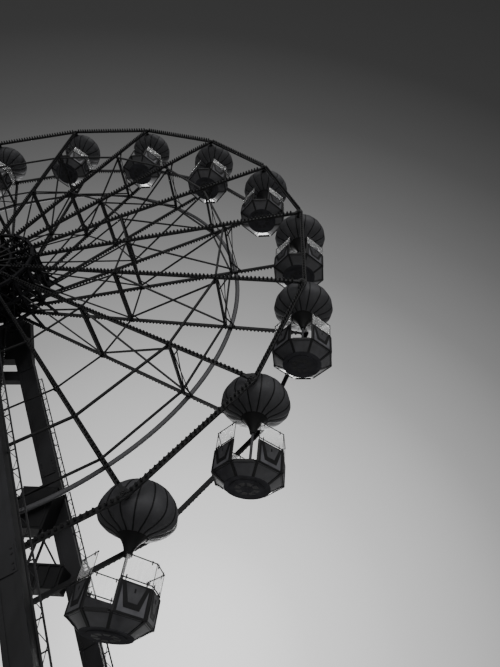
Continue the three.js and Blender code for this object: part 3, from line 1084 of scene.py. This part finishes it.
def makeFeet():
    bm = bmesh.new()
    reach = Vector((footPlate["half"], 0, 0))
    rise = footPlate["thickness"] / 2
    for hand, face in product((-1, 1), (-1, 1)):
        x = hand * legX(support["footZ"])
        y = face * (support["innerY"] + support["depth"] / 2)
        foot = Vector((x, y, support["footZ"] + rise))
        width, thickness = footPlate["width"], footPlate["thickness"]
        addBar(bm, foot - reach, foot + reach, width, thickness, bevel=footPlate["bevel"])
        for u, v in product(footPlate["boltX"], footPlate["boltY"]):
            spot = foot + Vector((u, v, rise))
            addRod(bm, spot, spot + Vector((0, 0, footPlate["boltHeight"])), footPlate["bolt"], 6, 1)
        half, topHalf, height = footPlate["ribHalf"], footPlate["ribTopHalf"], footPlate["ribHeight"]
        lean = footPlate["ribLean"] * hand
        rib = [(-half, 0), (half, 0), (topHalf - lean, height), (-topHalf - lean, height)]
        for side in (-1, 1):
            ribY = y + side * (support["depth"] / 2 + 0.01)
            place = Matrix.Translation((x, ribY, support["footZ"] + thickness))
            addPlate(bm, rib, place @ Matrix.Rotation(pi / 2, 4, "X"), footPlate["rib"] * -side)
    finishPiece("foot_plates", bm, ("support", "bolt"), "support")


housing = dict(
    inset=0.07,
    door=0.018,
    hinge=dict(inset=0.3, radius=0.018, half=0.07, out=0.022),
    handle=dict(inset=0.16, radius=0.014, half=0.09, out=0.04),
    lid=0.03,
    lidOut=0.03,
    bevel=0.006,
    deckZ=7.08,
    railOut=0.02,
    railDrop=0.65,
    rail=0.04,
    brace=0.03,
    braceZ=8.15,
)


# Door, hinges, handle and lid of the drive housing, and a rail round the platform under it
def makeHousingTrim():
    bm = bmesh.new()
    low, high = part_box("drive_housing")
    middle = (low + high) / 2
    inset, hinge, handle = housing["inset"], housing["hinge"], housing["handle"]
    frontPlace = Matrix.Translation((0, low.y, 0)) @ Matrix.Rotation(pi / 2, 4, "X")
    left, right, foot, top = low.x + inset, high.x - inset, low.z + inset, high.z - inset
    addPlate(bm, [(left, foot), (right, foot), (right, top), (left, top)], frontPlace, housing["door"])
    fittings = [(left, z, hinge) for z in (low.z + hinge["inset"], high.z - hinge["inset"])]
    for x, z, bar in fittings + [(high.x - handle["inset"], middle.z, handle)]:
        ends = [(x, low.y - bar["out"], z + sign * bar["half"]) for sign in (-1, 1)]
        addRod(bm, *ends, bar["radius"], 8, 1)
    lidZ = high.z + housing["lid"] / 2
    ends = [(x, middle.y, lidZ) for x in (low.x - housing["lidOut"], high.x + housing["lidOut"])]
    addBar(bm, *ends, high.y - low.y, housing["lid"], bevel=housing["bevel"])
    base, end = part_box("drive_platform")
    railY = base.y - housing["railOut"]
    deckZ, rail = housing["deckZ"], housing["rail"]
    for z in (deckZ + 0.03, deckZ - housing["railDrop"]):
        addBar(bm, (base.x, railY, z), (end.x, railY, z), rail, 0.06)
    for x in spread(base.x + 0.1, end.x - 0.1, 4):
        addBar(bm, (x, railY, deckZ - housing["railDrop"]), (x, railY, deckZ), rail, 0.05)
    brace = [(base.x + 0.035, base.y + 0.095, housing["braceZ"]), (end.x - 0.35, end.y - 0.09, deckZ)]
    addRod(bm, *brace, housing["brace"], 8)
    finishPiece("housing_trim", bm, ("housing", "bolt"), "support")


makeLegTrim()
makeBearings()
makeLadderLacing()
makeFeet()
makeHousingTrim()
print("supports trimmed")


# Paint on the CAD nodes that stay in view, where it isn't the supports' paint
nodePaints = dict(
    front_wheel_frame="lattice",
    back_wheel_frame="lattice",
    cross_bracing="lattice",
    main_axle="axle",
    drive_housing="housing",
    drive_platform="housing",
)


def paintNodes():
    for name, node in frame["nodes"].items():
        node.data.materials.clear()
        node.data.materials.append(paints[nodePaints.get(name, "support")])


paintNodes()
print("frame painted")


# Floor, plain backdrop and soft light
stage = dict(
    floorSize=600,
    floor="#dddddd",
    brightSide=(-0.237, 0.952, 0.191),  # the backdrop is brightest in this direction, low behind the wheel
    sky=[  # how far a direction agrees with that one, and the backdrop's colour there
        (-1.0, "#909090"),
        (-0.2, "#5c5c5c"),
        (0.30, "#242424"),
        (0.425, "#292929"),
        (0.525, "#383838"),
        (0.625, "#4b4b4b"),
        (0.725, "#5f5f5f"),
        (0.825, "#7c7c7c"),
        (0.925, "#a6a6a6"),
        (0.975, "#c2c2c2"),
        (1.0, "#e0e0e0"),
    ],
    skyStrength=2.0,
    fill=dict(angle=60, strength=2.6, towards=(-0.25, 0.9, -0.55)),
    rim=dict(angle=25, strength=5.0, towards=(0.15, -0.98, -0.12)),
)


def makeFloor():
    bm = bmesh.new()
    bmesh.ops.create_grid(bm, x_segments=1, y_segments=1, size=stage["floorSize"] / 2)
    mesh = meshFrom(bm, "floor")
    matt = {"Base Color": linear(stage["floor"]), "Roughness": 0.8}
    mesh.materials.append(startMaterial("studioFloor", matt)[0])
    floor = addObject("floor", mesh)


def makeLights():
    for name in ("fill", "rim"):
        data = bpy.data.lights.new(name, "SUN")
        data.energy = stage[name]["strength"]
        data.angle = radians(stage[name]["angle"])
        light = addObject(name, data)
        light.rotation_mode = "QUATERNION"
        light.rotation_quaternion = Vector(stage[name]["towards"]).to_track_quat("-Z", "Y")


def makeBackdrop():
    world = bpy.data.worlds.new("backdrop")
    bpy.context.scene.world = world
    world.use_nodes = True
    tree = world.node_tree
    tree.nodes.clear()
    direction = addNode(tree, "ShaderNodeTexCoord").outputs["Generated"]
    along = addNode(tree, "ShaderNodeVectorMath", {"operation": "DOT_PRODUCT"}, Vector=direction)
    along.inputs[1].default_value = stage["brightSide"]
    share = addNode(tree, "ShaderNodeMapRange", {"From Min": -1.0}, Value=along.outputs["Value"])
    ramp = addNode(tree, "ShaderNodeValToRGB", Fac=share.outputs["Result"])
    elements = ramp.color_ramp.elements
    for i, (agreement, colour) in enumerate(stage["sky"]):
        position = (agreement + 1) / 2
        element = elements[i] if i < 2 else elements.new(position)
        element.position = position
        element.color = linear(colour)
    strength = {"Strength": stage["skyStrength"]}
    glow = addNode(tree, "ShaderNodeBackground", strength, Color=ramp.outputs["Color"])
    addNode(tree, "ShaderNodeOutputWorld", Surface=glow.outputs["Background"])


makeFloor()
makeLights()
makeBackdrop()
print("stage set")
